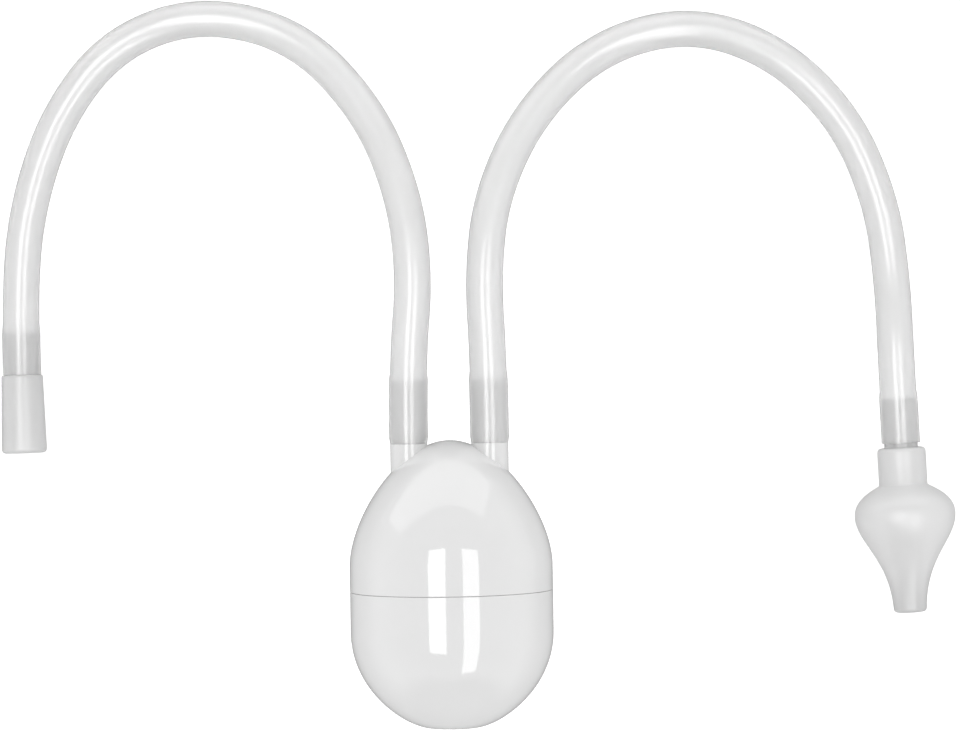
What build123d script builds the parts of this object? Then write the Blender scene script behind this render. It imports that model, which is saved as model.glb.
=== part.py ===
"""Mouth-powered nasal aspirator: a two-part collection chamber, two soft hoses,
a nasal tip and a mouthpiece.

Frame: millimetres, +Z up. The aspirator lies on its back on the plane z = 0.
The chamber's axis runs along +Y, towards its two hose ports. The mouth hose
leaves on the -X side and the nose hose on the +X side.
"""
from build123d import *
import math
import os

os.makedirs("parts", exist_ok=True)

# --- driving dimensions ----------------------------------------------------

# soft hose, standard 5 x 7 tubing
HOSE_OD = 7.0
HOSE_ID = 5.0

# collection chamber, along its own axis from its middle height
CHAMBER_R = 19.25
DOME_TOP = 27.2
DOME_START = 3.4
SEAM = -1.2
BOWL_START = -9.0
BOWL_BOTTOM = -27.2
FOOT_R = 4.6
FOOT_RECESS_R = 2.8
FOOT_RECESS_SLOPE = 0.4
FOOT_RECESS_DEPTH = 0.7
WALL = 1.3
CUP_UNDERSIDE = BOWL_BOTTOM + FOOT_RECESS_DEPTH
CUP_FLOOR = CUP_UNDERSIDE + WALL
CUP_FLOOR_R = 3.6

# how far the chamber's curves run straight on: shoulder handles along the axis,
# crown and heel handles across it
DOME_SHOULDER = 12.6
CROWN_R = 9.6
INNER_DOME_SHOULDER = 12.2
INNER_CROWN_R = 9.0
BOWL_SHOULDER = -20.5
HEEL_R = 8.5
INNER_BOWL_SHOULDER = -18.5
INNER_HEEL_R = 9.5

# push joint between the two chamber halves, sealed by a ring on the skirt
PUSH_CLEARANCE = 0.05
SEAM_GAP = 0.12
CUP_RIM = SEAM - SEAM_GAP
SKIRT_LENGTH = 6.0
SKIRT_R = CHAMBER_R - WALL - PUSH_CLEARANCE
SKIRT_INNER_R = 16.2
SKIRT_RAMP = 2.5
SKIRT_END = SEAM - SKIRT_LENGTH
GROOVE_FLOOR_R = 17.1
GROOVE_WIDTH = 1.3
GROOVE_FROM_SEAM = 2.6
RING_WIDTH = 1.1
RING_PROUD = 0.02
RING_EDGE_R = 0.25
EDGE_BREAK = 0.25

# hose ports
PORT_OFFSET = 7.7
BOSS_TOP = 26.6
SPIGOT_LENGTH = 12.0
SPIGOT_BORE_R = 1.5
SPIGOT_BARB_R = HOSE_ID / 2 - PUSH_CLEARANCE
SPIGOT_ROOT_R = 2.2
SPIGOT_LEAD = 0.15
BOSS_OVERLAP = 1.0
CUT_PAST = 1.0

# inner spout of the nose port and the valve pushed onto it
SPOUT_R = 2.6
SPOUT_END = 15.0
VALVE_SLEEVE_R = 3.7
VALVE_SLEEVE_TOP = 19.2
VALVE_LENGTH = 13.0
LIP_WIDTH = 5.6
LIP_WALL = 0.8
LIP_CORNER_R = 0.6
LIP_SLIT = 0.3

# nasal tip, along its own axis from the hose side
TIP_NECK_R = 4.65
TIP_NECK_LENGTH = 7.5
TIP_SHOULDER_R = 7.6
TIP_SHOULDER_RISE = 0.1
TIP_BULB_R = 9.65
TIP_BULB_AT = 12.9
TIP_BULB_BEFORE = 9.6
TIP_BULB_AFTER = 18.0
TIP_TAPER_R = 3.7
TIP_TAPER_AT = 21.0
TIP_END_R = 3.2
TIP_LENGTH = 31.7
TIP_SOCKET_R = 3.35
TIP_SOCKET_DEPTH = 8.0
TIP_SOCKET_RAMP = 2.5
TIP_OUTLET_R = 1.4
TIP_OUTLET_LENGTH = 7.0
TIP_EDGE_R = 0.9
TIP_OUTLET_EDGE_R = 0.4

# hard adaptor between nose hose and tip
CONNECTOR_SPIGOT = 8.4
CONNECTOR_WAIST_R = 3.2
CONNECTOR_WAIST = 0.9
CONNECTOR_PLUG_R = TIP_SOCKET_R - PUSH_CLEARANCE
CONNECTOR_PLUG = 7.2
CONNECTOR_RAMP = 0.8
CONNECTOR_LEAD = 0.6
CONNECTOR_LEAD_DROP = 0.4
CONNECTOR_BORE_R = 1.5

# mouthpiece
MOUTH_LENGTH = 15.1
MOUTH_TOP_R = 3.98
MOUTH_END_R = 4.38
MOUTH_BORE_R = 2.5
MOUTH_BORE_START = 2.5
MOUTH_SPIGOT = 8.2
MOUTH_TOP_BREAK = 0.3
MOUTH_EDGE_R = 1.0
MOUTH_INNER_EDGE_R = 0.5

# heights of the loose ends above the surface the aspirator lies on
FLOOR_CLEARANCE = 0.05
FLOOR_Z = HOSE_OD / 2 + FLOOR_CLEARANCE
TIP_Z = TIP_BULB_R + FLOOR_CLEARANCE
MOUTH_Z = MOUTH_END_R + 0.07

# --- shared places ---------------------------------------------------------

UP = Vector(0, 0, 1)
SPIGOT_TIP = BOSS_TOP + SPIGOT_LENGTH
# The origin is under the middle of the chamber and its ports.
CHAMBER_Y = -(SPIGOT_TIP + BOWL_BOTTOM) / 2
PORT_Y = CHAMBER_Y + BOSS_TOP

chamber_plane = Plane(origin=(0, CHAMBER_Y, CHAMBER_R), x_dir=(1, 0, 0), z_dir=(0, 0, 1))
chamber_axis = Axis(chamber_plane.origin, (0, 1, 0))


def cross_plane(offset, along):
    """A plane square to the chamber's axis, offset sideways, facing the ports."""
    return Plane(origin=(offset, CHAMBER_Y + along, CHAMBER_R), x_dir=(1, 0, 0), z_dir=(0, 1, 0))


def port_plane(offset):
    """A plane for profiles turned about a port: x is the radius, y runs up the port."""
    return Plane(origin=(offset, CHAMBER_Y, CHAMBER_R), x_dir=(1, 0, 0), z_dir=(0, 0, 1))


def barbed(start, end, root_r=SPIGOT_ROOT_R, barb_r=SPIGOT_BARB_R, barbs=3):
    """Outline of a barbed spigot from its root to its tip, as (radius, along) points."""
    step = (end - start) / barbs
    ridge_at, rise, fall = 0.55 * step, 0.12 * step, 0.42 * step
    points = [(root_r, start)]
    for i in range(barbs):
        ridge = start + i * step + ridge_at
        points.append((root_r, ridge - rise))
        points.append((barb_r, ridge))
        if i < barbs - 1:
            points.append((root_r, ridge + fall))
    points.append((root_r - SPIGOT_LEAD, end))
    return points


def arc_radii(route):
    """Radius of the tangent arc at each inner point of a hose's route.

    Each arc takes up 0.45 of the shorter run beside it.
    """
    points = [Vector(*p) for p in route]
    radii = []
    for before, here, after in zip(points, points[1:], points[2:]):
        shorter = min((here - before).length, (after - here).length)
        turn = math.radians((here - before).get_angle(after - here))
        radii.append(0.45 * shorter / math.tan(turn / 2))
    return radii


def end_plane(route):
    """A plane at a route's end: y runs on in the last run's direction, x is sideways."""
    along = (Vector(*route[-1]) - Vector(*route[-2])).normalized()
    return Plane(origin=route[-1], x_dir=along.cross(UP), z_dir=UP)


# --- routes of the two hoses -----------------------------------------------

MOUTH_ROUTE = [
    (-PORT_OFFSET, PORT_Y, CHAMBER_R),
    (-PORT_OFFSET, 36.6, CHAMBER_R),
    (-6.1, 52.4, 18.5),
    (-7.9, 68.4, 15.4),
    (-14.7, 85.3, 10.6),
    (-28.5, 100.3, 5.8),
    (-47.6, 105.1, FLOOR_Z),
    (-64.2, 99.3, FLOOR_Z + 0.05),
    (-75.2, 85.6, FLOOR_Z),
    (-81.3, 68.4, FLOOR_Z + 0.05),
    (-83.1, 51.4, MOUTH_Z),
    (-82.85, 35.1, MOUTH_Z),
]

NOSE_ROUTE = [
    (PORT_OFFSET, PORT_Y, CHAMBER_R),
    (PORT_OFFSET, 36.6, CHAMBER_R),
    (6.9, 52.4, 18.5),
    (8.8, 68.2, 15.4),
    (16.7, 84.4, 10.6),
    (30.3, 97.1, 5.8),
    (48.0, 101.6, FLOOR_Z),
    (64.7, 95.8, FLOOR_Z + 0.05),
    (77.8, 82.6, FLOOR_Z),
    (84.6, 66.2, FLOOR_Z + 0.05),
    (86.4, 50.4, 4.7),
    (86.25, 35.2, TIP_Z),
    (86.9, 19.35, TIP_Z),
]

# --- collection chamber ----------------------------------------------------

with BuildPart() as upper_shell:
    # the dome, its straight wall and the skirt that enters the cup
    with BuildSketch(chamber_plane):
        with BuildLine():
            Bezier(
                (CHAMBER_R, DOME_START),
                (CHAMBER_R, DOME_SHOULDER),
                (CROWN_R, DOME_TOP),
                (0, DOME_TOP),
            )
            Polyline(
                (0, DOME_TOP),
                (0, SKIRT_END),
                (SKIRT_R - EDGE_BREAK, SKIRT_END),
                (SKIRT_R, SKIRT_END + EDGE_BREAK),
                (SKIRT_R, SEAM),
                (CHAMBER_R - EDGE_BREAK, SEAM),
                (CHAMBER_R, SEAM + EDGE_BREAK),
                (CHAMBER_R, DOME_START),
            )
        make_face()
    revolve(axis=chamber_axis)
    # the two port bosses, as wide as the hoses that stand on them
    for side in (-PORT_OFFSET, PORT_OFFSET):
        with BuildSketch(cross_plane(side, DOME_START)):
            Circle(HOSE_OD / 2)
        extrude(amount=BOSS_TOP - DOME_START)
    # hollow
    with BuildSketch(chamber_plane):
        with BuildLine():
            Bezier(
                (CHAMBER_R - WALL, DOME_START),
                (CHAMBER_R - WALL, INNER_DOME_SHOULDER),
                (INNER_CROWN_R, DOME_TOP - WALL),
                (0, DOME_TOP - WALL),
            )
            Polyline(
                (0, DOME_TOP - WALL),
                (0, SKIRT_END - CUT_PAST),
                (SKIRT_INNER_R, SKIRT_END - CUT_PAST),
                (SKIRT_INNER_R, SEAM),
                (CHAMBER_R - WALL, SEAM + SKIRT_RAMP),
                (CHAMBER_R - WALL, DOME_START),
            )
        make_face()
    revolve(axis=chamber_axis, mode=Mode.SUBTRACT)
    # groove for the seal ring
    with BuildSketch(chamber_plane):
        with Locations((GROOVE_FLOOR_R, SEAM - GROOVE_FROM_SEAM)):
            Rectangle(CHAMBER_R - GROOVE_FLOOR_R, GROOVE_WIDTH, align=(Align.MIN, Align.MAX))
    revolve(axis=chamber_axis, mode=Mode.SUBTRACT)
    # barbed spigots that the hoses push onto
    for side in (-PORT_OFFSET, PORT_OFFSET):
        with BuildSketch(port_plane(side)):
            with BuildLine():
                Polyline(
                    (0, BOSS_TOP - BOSS_OVERLAP),
                    (SPIGOT_ROOT_R, BOSS_TOP - BOSS_OVERLAP),
                    *barbed(BOSS_TOP, SPIGOT_TIP),
                    (0, SPIGOT_TIP),
                    close=True,
                )
            make_face()
        revolve(axis=Axis(port_plane(side).origin, (0, 1, 0)))
    # spout under the nose port, inside the dome
    with BuildSketch(cross_plane(PORT_OFFSET, SPOUT_END)):
        Circle(SPOUT_R)
    extrude(amount=BOSS_TOP - SPOUT_END - BOSS_OVERLAP)
    # air ways through both ports
    for side in (-PORT_OFFSET, PORT_OFFSET):
        with BuildSketch(cross_plane(side, SPOUT_END - CUT_PAST)):
            Circle(SPIGOT_BORE_R)
        extrude(amount=SPIGOT_TIP - SPOUT_END + 2 * CUT_PAST, mode=Mode.SUBTRACT)
upper_shell.part.label = "upper_shell"

with BuildPart() as lower_cup:
    with BuildSketch(chamber_plane):
        with BuildLine():
            Bezier(
                (CHAMBER_R, BOWL_START),
                (CHAMBER_R, BOWL_SHOULDER),
                (HEEL_R, BOWL_BOTTOM),
                (FOOT_R, BOWL_BOTTOM),
            )
            Polyline(
                (FOOT_R, BOWL_BOTTOM),
                (FOOT_RECESS_R, BOWL_BOTTOM),
                (FOOT_RECESS_R - FOOT_RECESS_SLOPE, CUP_UNDERSIDE),
                (0, CUP_UNDERSIDE),
                (0, CUP_FLOOR),
                (CUP_FLOOR_R, CUP_FLOOR),
            )
            Bezier(
                (CUP_FLOOR_R, CUP_FLOOR),
                (INNER_HEEL_R, CUP_FLOOR),
                (CHAMBER_R - WALL, INNER_BOWL_SHOULDER),
                (CHAMBER_R - WALL, BOWL_START),
            )
            Polyline(
                (CHAMBER_R - WALL, BOWL_START),
                (CHAMBER_R - WALL, CUP_RIM - EDGE_BREAK),
                (CHAMBER_R - WALL + EDGE_BREAK, CUP_RIM),
                (CHAMBER_R - EDGE_BREAK, CUP_RIM),
                (CHAMBER_R, CUP_RIM - EDGE_BREAK),
                (CHAMBER_R, BOWL_START),
            )
        make_face()
    revolve(axis=chamber_axis)
lower_cup.part.label = "lower_cup"

with BuildPart() as seal_ring:
    # fills the skirt's groove to its floor and stands a little proud of the skirt
    ring_thickness = SKIRT_R + RING_PROUD - GROOVE_FLOOR_R
    ring_top = SEAM - GROOVE_FROM_SEAM - (GROOVE_WIDTH - RING_WIDTH) / 2
    with BuildSketch(chamber_plane):
        with Locations((GROOVE_FLOOR_R, ring_top)):
            RectangleRounded(ring_thickness, RING_WIDTH, RING_EDGE_R, align=(Align.MIN, Align.MAX))
    revolve(axis=chamber_axis)
seal_ring.part.label = "seal_ring"

with BuildPart() as backflow_valve:
    # a duckbill: a round sleeve on the spout that closes to two flat lips
    with BuildSketch(cross_plane(PORT_OFFSET, VALVE_SLEEVE_TOP)):
        Circle(VALVE_SLEEVE_R)
    extrude(amount=-(VALVE_SLEEVE_TOP - SPOUT_END))
    with BuildSketch(cross_plane(PORT_OFFSET, SPOUT_END)):
        Circle(VALVE_SLEEVE_R)
    with BuildSketch(cross_plane(PORT_OFFSET, VALVE_SLEEVE_TOP - VALVE_LENGTH)):
        RectangleRounded(LIP_WIDTH + 2 * LIP_WALL, LIP_SLIT + 2 * LIP_WALL, LIP_CORNER_R)
    loft()
    # the sleeve's socket
    with BuildSketch(cross_plane(PORT_OFFSET, VALVE_SLEEVE_TOP)):
        Circle(SPOUT_R + PUSH_CLEARANCE)
    extrude(amount=-(VALVE_SLEEVE_TOP - SPOUT_END), mode=Mode.SUBTRACT)
    # the way down to the slit between the lips
    with BuildSketch(cross_plane(PORT_OFFSET, SPOUT_END)):
        Circle(SPOUT_R)
    with BuildSketch(cross_plane(PORT_OFFSET, VALVE_SLEEVE_TOP - VALVE_LENGTH)):
        Rectangle(LIP_WIDTH, LIP_SLIT)
    loft(mode=Mode.SUBTRACT)
backflow_valve.part.label = "backflow_valve"

# --- hoses -----------------------------------------------------------------

HOSE_SECTION = math.pi * (HOSE_OD**2 - HOSE_ID**2) / 4
hoses = []
for label, route in (("mouth_hose", MOUTH_ROUTE), ("nose_hose", NOSE_ROUTE)):
    with BuildPart() as hose:
        with BuildLine():
            path = FilletPolyline(*route, radius=arc_radii(route))
        with BuildSketch(Plane(origin=path @ 0, z_dir=path % 0)):
            Circle(HOSE_OD / 2)
            Circle(HOSE_ID / 2, mode=Mode.SUBTRACT)
        sweep()
    hose.part.label = label
    hoses.append(hose)
    print(label, "length", round(path.length, 1), "radii", [round(r, 1) for r in arc_radii(route)])
    print("volume", round(hose.part.volume, 1), "section x length", round(HOSE_SECTION * path.length, 1))

# --- mouthpiece ------------------------------------------------------------

mouth_plane = end_plane(MOUTH_ROUTE)
mouth_axis = Axis(mouth_plane.origin, mouth_plane.y_dir)

with BuildPart() as mouthpiece:
    with BuildSketch(mouth_plane):
        with BuildLine():
            Polyline(
                *[(r, -along) for r, along in reversed(barbed(0, MOUTH_SPIGOT, barbs=2))],
                (MOUTH_TOP_R - MOUTH_TOP_BREAK, 0),
                (MOUTH_TOP_R, MOUTH_TOP_BREAK),
                (MOUTH_END_R, MOUTH_LENGTH),
                (MOUTH_BORE_R, MOUTH_LENGTH),
                (MOUTH_BORE_R, MOUTH_BORE_START),
                (SPIGOT_BORE_R, 0),
                (SPIGOT_BORE_R, -MOUTH_SPIGOT),
                close=True,
            )
        make_face()
    revolve(axis=mouth_axis)
    rim = mouthpiece.edges().filter_by(GeomType.CIRCLE).sort_by(mouth_axis)[-2:]
    outer_rim = rim.sort_by(SortBy.RADIUS)[-1]
    inner_rim = rim.sort_by(SortBy.RADIUS)[0]
    fillet(outer_rim, MOUTH_EDGE_R)
    fillet(inner_rim, MOUTH_INNER_EDGE_R)
mouthpiece.part.label = "mouthpiece"

# --- nasal tip and its adaptor ---------------------------------------------

adaptor_plane = end_plane(NOSE_ROUTE)
adaptor_axis = Axis(adaptor_plane.origin, adaptor_plane.y_dir)
tip_plane = Plane(
    origin=adaptor_plane.origin + adaptor_plane.y_dir * CONNECTOR_WAIST,
    x_dir=adaptor_plane.x_dir,
    z_dir=UP,
)

with BuildPart() as tip_connector:
    plug_end = CONNECTOR_WAIST + CONNECTOR_PLUG
    with BuildSketch(adaptor_plane):
        with BuildLine():
            Polyline(
                *[(r, -along) for r, along in reversed(barbed(0, CONNECTOR_SPIGOT, barbs=2))],
                (CONNECTOR_WAIST_R, 0),
                (CONNECTOR_WAIST_R, CONNECTOR_WAIST + CONNECTOR_RAMP),
                (CONNECTOR_PLUG_R, CONNECTOR_WAIST + 2 * CONNECTOR_RAMP),
                (CONNECTOR_PLUG_R, plug_end - CONNECTOR_LEAD),
                (CONNECTOR_PLUG_R - CONNECTOR_LEAD_DROP, plug_end),
                (CONNECTOR_BORE_R, plug_end),
                (CONNECTOR_BORE_R, -CONNECTOR_SPIGOT),
                close=True,
            )
        make_face()
    revolve(axis=adaptor_axis)
tip_connector.part.label = "tip_connector"

with BuildPart() as nasal_tip:
    with BuildSketch(tip_plane):
        with BuildLine():
            Bezier(
                (TIP_NECK_R, TIP_NECK_LENGTH),
                (TIP_SHOULDER_R, TIP_NECK_LENGTH + TIP_SHOULDER_RISE),
                (TIP_BULB_R, TIP_BULB_BEFORE),
                (TIP_BULB_R, TIP_BULB_AT),
            )
            Bezier(
                (TIP_BULB_R, TIP_BULB_AT),
                (TIP_BULB_R, TIP_BULB_AFTER),
                (TIP_TAPER_R, TIP_TAPER_AT),
                (TIP_END_R, TIP_LENGTH),
            )
            Polyline(
                (TIP_END_R, TIP_LENGTH),
                (TIP_OUTLET_R, TIP_LENGTH),
                (TIP_OUTLET_R, TIP_LENGTH - TIP_OUTLET_LENGTH),
                (TIP_SOCKET_R, TIP_SOCKET_DEPTH + TIP_SOCKET_RAMP),
                (TIP_SOCKET_R, 0),
                (TIP_NECK_R, 0),
                (TIP_NECK_R, TIP_NECK_LENGTH),
            )
        make_face()
    revolve(axis=adaptor_axis)
    rings = nasal_tip.edges().filter_by(GeomType.CIRCLE).sort_by(adaptor_axis)
    fillet(rings[:2].sort_by(SortBy.RADIUS)[-1], TIP_EDGE_R)
    rings = nasal_tip.edges().filter_by(GeomType.CIRCLE).sort_by(adaptor_axis)
    fillet(rings[-2:].sort_by(SortBy.RADIUS)[-1], TIP_EDGE_R)
    fillet(nasal_tip.edges().filter_by(GeomType.CIRCLE).sort_by(adaptor_axis)[-1], TIP_OUTLET_EDGE_R)
nasal_tip.part.label = "nasal_tip"

# --- written files ---------------------------------------------------------

pieces = [
    upper_shell,
    lower_cup,
    seal_ring,
    backflow_valve,
    *hoses,
    mouthpiece,
    tip_connector,
    nasal_tip,
]
for piece in pieces:
    export_step(piece.part, f"parts/{piece.part.label}.step")
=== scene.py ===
"""Looks of a mouth-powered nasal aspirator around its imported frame.

The aspirator lies on its back on a pale table: a milky two-part chamber, two
clear soft hoses, a silicone nasal tip and a short mouthpiece. Metres throughout,
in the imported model's own frame: +Y runs up the chamber towards its hose ports.
"""
import logging
import math
from dataclasses import dataclass
from enum import Enum
from typing import Iterable, Sequence

import bmesh
import bpy
from mathutils import Matrix, Vector


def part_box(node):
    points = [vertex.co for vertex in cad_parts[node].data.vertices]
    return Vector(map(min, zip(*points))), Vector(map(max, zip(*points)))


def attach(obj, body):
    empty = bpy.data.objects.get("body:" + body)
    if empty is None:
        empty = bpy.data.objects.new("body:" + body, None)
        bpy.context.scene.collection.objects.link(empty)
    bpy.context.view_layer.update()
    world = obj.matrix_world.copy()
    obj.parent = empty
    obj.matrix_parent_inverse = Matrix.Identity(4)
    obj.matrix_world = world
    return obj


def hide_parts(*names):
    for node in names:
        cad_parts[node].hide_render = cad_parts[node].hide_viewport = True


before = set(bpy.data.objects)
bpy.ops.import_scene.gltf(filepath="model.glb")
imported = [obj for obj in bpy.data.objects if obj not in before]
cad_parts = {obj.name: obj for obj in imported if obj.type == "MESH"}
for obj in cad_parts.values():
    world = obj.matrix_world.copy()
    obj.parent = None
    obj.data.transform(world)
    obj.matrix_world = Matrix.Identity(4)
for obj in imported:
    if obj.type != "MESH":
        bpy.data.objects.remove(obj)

log = logging.getLogger("aspirator")
UP = Vector((0.0, 0.0, 1.0))
ACROSS = Vector((1.0, 0.0, 0.0))
MERGE_DISTANCE = 1e-7
OVERRUN = 0.001
Point = tuple[float, float]
Place = tuple[float, float, float]
Colour = tuple[float, float, float]


class Slot(Enum):
    """Material slot names of the record; no piece here takes its finish from them."""

    CHAMBER = "chamber_plastic"
    FITTING = "fitting_plastic"
    HOSE = "hose"
    SILICONE = "silicone"


# --- shader building --------------------------------------------------------


class Signal:
    """A shader socket that takes part in Python arithmetic through Math nodes."""

    def __init__(self, tree: bpy.types.NodeTree, socket: bpy.types.NodeSocket) -> None:
        """Wrap one output socket of a node tree."""
        self.tree = tree
        self.socket = socket

    def _math(self, operation: str, first: object, second: object) -> "Signal":
        """Add one Math node.

        Args:
            operation: The node's operation.
            first: A signal or a number for its first socket.
            second: A signal or a number for its second socket.

        Returns:
            The node's result.
        """
        node = self.tree.nodes.new("ShaderNodeMath")
        node.operation = operation
        for socket, value in zip(node.inputs, (first, second)):
            if isinstance(value, Signal):
                self.tree.links.new(value.socket, socket)
            else:
                socket.default_value = value
        return Signal(self.tree, node.outputs[0])

    def __add__(self, other: object) -> "Signal":
        """Sum with a signal or a number."""
        return self._math("ADD", self, other)

    __radd__ = __add__

    def __mul__(self, other: object) -> "Signal":
        """Product with a signal or a number."""
        return self._math("MULTIPLY", self, other)

    __rmul__ = __mul__

    def __sub__(self, other: object) -> "Signal":
        """Difference from a signal or a number."""
        return self._math("SUBTRACT", self, other)

    def __rsub__(self, other: object) -> "Signal":
        """Difference of a number from this signal."""
        return self._math("SUBTRACT", other, self)


class Bench:
    """A node tree that nodes are added to."""

    def __init__(self, tree: bpy.types.NodeTree) -> None:
        """Empty a tree and work on it."""
        self.tree = tree
        self.tree.nodes.clear()

    def node(
        self,
        kind: str,
        settings: dict[str, object] | None = None,
        inputs: dict[str | int, object] | None = None,
    ) -> bpy.types.Node:
        """Add a node.

        Args:
            kind: The node's type.
            settings: Its own settings, set first.
            inputs: Its sockets' values, or the signals that feed them.

        Returns:
            The new node.
        """
        made = self.tree.nodes.new(kind)
        for key, value in (settings or {}).items():
            setattr(made, key, value)
        for key, value in (inputs or {}).items():
            if isinstance(value, Signal):
                self.tree.links.new(value.socket, made.inputs[key])
            else:
                made.inputs[key].default_value = value
        return made

    def signal(self, node: bpy.types.Node, output: str | int) -> Signal:
        """One output of a node as a signal."""
        return Signal(self.tree, node.outputs[output])

    def split(self, vector: Signal) -> tuple[Signal, Signal, Signal]:
        """The X, Y and Z of a vector."""
        node = self.node("ShaderNodeSeparateXYZ", inputs={"Vector": vector})
        return (self.signal(node, "X"), self.signal(node, "Y"), self.signal(node, "Z"))

    def smooth_step(self, value: Signal, low: float, high: float) -> Signal:
        """A soft step.

        Args:
            value: What the step follows.
            low: Its value where the step is 0.
            high: Its value where the step is 1.

        Returns:
            The step's height.
        """
        made = self.node(
            "ShaderNodeMapRange",
            {"interpolation_type": "SMOOTHSTEP"},
            {"Value": value, "From Min": low, "From Max": high},
        )
        return self.signal(made, "Result")


class Recipe(Bench):
    """A material under construction."""

    def __init__(self, name: str) -> None:
        """Start an empty material of the given name."""
        self.material = bpy.data.materials.new(name)
        self.material.use_nodes = True
        super().__init__(self.material.node_tree)

    def place(self) -> Signal:
        """Object coordinates, which are metres in the aspirator's frame."""
        return self.signal(self.node("ShaderNodeTexCoord"), "Object")

    def noise(self, where: Signal, cells: float, octaves: float) -> Signal:
        """Soft noise from 0 to 1.

        Args:
            where: Coordinates.
            cells: Cells to a metre.
            octaves: Finer layers of it.

        Returns:
            The noise's strength.
        """
        made = self.node(
            "ShaderNodeTexNoise", inputs={"Vector": where, "Scale": cells, "Detail": octaves}
        )
        return self.signal(made, "Fac")

    def mix(self, amount: Signal, low: Colour, high: Colour) -> Signal:
        """Blend two colours.

        Args:
            amount: Share of the second colour.
            low: The colour at 0.
            high: The colour at 1.

        Returns:
            The blend.
        """
        factor, first, second, result = 0, 6, 7, 2
        made = self.node(
            "ShaderNodeMix",
            {"data_type": "RGBA"},
            {factor: amount, first: (*low, 1.0), second: (*high, 1.0)},
        )
        return self.signal(made, result)

    def bump(self, height: Signal, depth: float, strength: float) -> Signal:
        """A normal bent by a height.

        Args:
            height: The relief, 0 to 1.
            depth: Metres from 0 to 1.
            strength: How much of it shows.

        Returns:
            The bent normal.
        """
        made = self.node(
            "ShaderNodeBump", inputs={"Height": height, "Distance": depth, "Strength": strength}
        )
        return self.signal(made, "Normal")

    def finish(self, shader: Signal) -> bpy.types.Material:
        """Send a shader to the surface and return the material."""
        self.node("ShaderNodeOutputMaterial", inputs={"Surface": shader})
        return self.material


def grey(level: float) -> Colour:
    """A neutral colour."""
    return (level, level, level)


@dataclass(frozen=True)
class Moulded:
    """A cloudy body under a clear skin, which every piece here has.

    Attributes:
        name: The material's name.
        pale: The tone where its clouds are thickest.
        deep: The tone between them, and on a piece with painted shade the tone that shade sinks to.
        see_through: Share of the light that passes into it.
        skin_index: Refractive index of the skin.
        skin_roughness: The skin's blur.
        index: Refractive index of the body.
        blur: The body's blur.
        blur_spread: How far that blur wanders.
        relief_depth: Metres from the relief's floor to its crest.
        relief_strength: How much of the relief shows.
    """

    name: str
    pale: Colour
    deep: Colour
    see_through: float
    skin_index: float
    skin_roughness: float
    index: float
    blur: float
    blur_spread: float
    relief_depth: float
    relief_strength: float

    def coated(self, recipe: Recipe, tone: Signal, haze: Signal, relief: Signal) -> bpy.types.Material:
        """Build the body with its skin.

        Args:
            recipe: The material under construction.
            tone: 0 at the deep tone and 1 at the pale one.
            haze: What moves the blur, 0 to 1.
            relief: What bends the surface, 0 to 1.

        Returns:
            The material.
        """
        body = recipe.node(
            "ShaderNodeBsdfPrincipled",
            inputs={
                "Base Color": recipe.mix(tone, self.deep, self.pale),
                "Roughness": self.blur + self.blur_spread * (haze - 0.5),
                "IOR": self.index,
                "Specular IOR Level": 0.0,
                "Transmission Weight": self.see_through,
                "Coat Weight": 1.0,
                "Coat IOR": self.skin_index,
                "Coat Roughness": self.skin_roughness,
                "Normal": recipe.bump(relief, self.relief_depth, self.relief_strength),
            },
        )
        return recipe.finish(recipe.signal(body, "BSDF"))


@dataclass(frozen=True)
class MilkyPlastic(Moulded):
    """Moulded polypropylene: a cloudy body under a glossy skin."""

    index: float = 1.49
    blur: float = 0.35
    blur_spread: float = 0.08
    relief_depth: float = 0.00004
    relief_strength: float = 0.25
    cloud_cells: float = 95.0
    flow_cells: float = 420.0
    ripple_cells: float = 260.0

    def material(self) -> bpy.types.Material:
        """Build the plastic with its clouding, flow marks and faint moulding ripple.

        Returns:
            The material.
        """
        recipe = Recipe(self.name)
        where = recipe.place()
        cloud = recipe.noise(where, self.cloud_cells, 3.0)
        flow = recipe.noise(where, self.flow_cells, 2.0)
        ripple = recipe.noise(where, self.ripple_cells, 1.0)
        return self.coated(recipe, cloud, flow, ripple)


@dataclass(frozen=True)
class ClearTubing(Moulded):
    """Extruded clear soft tube with a slight haze."""

    skin_index: float = 1.6
    skin_roughness: float = 0.28
    index: float = 1.25
    blur: float = 0.18
    blur_spread: float = 0.05
    relief_depth: float = 0.00005
    relief_strength: float = 0.3
    haze_cells: float = 120.0
    wave_cells: float = 300.0

    def material(self) -> bpy.types.Material:
        """Build the tube's haze, its faint waviness and its soft gloss.

        Returns:
            The material.
        """
        recipe = Recipe(self.name)
        where = recipe.place()
        haze = recipe.noise(where, self.haze_cells, 3.0)
        wave = recipe.noise(where, self.wave_cells, 1.0)
        return self.coated(recipe, haze, haze, wave)


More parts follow.
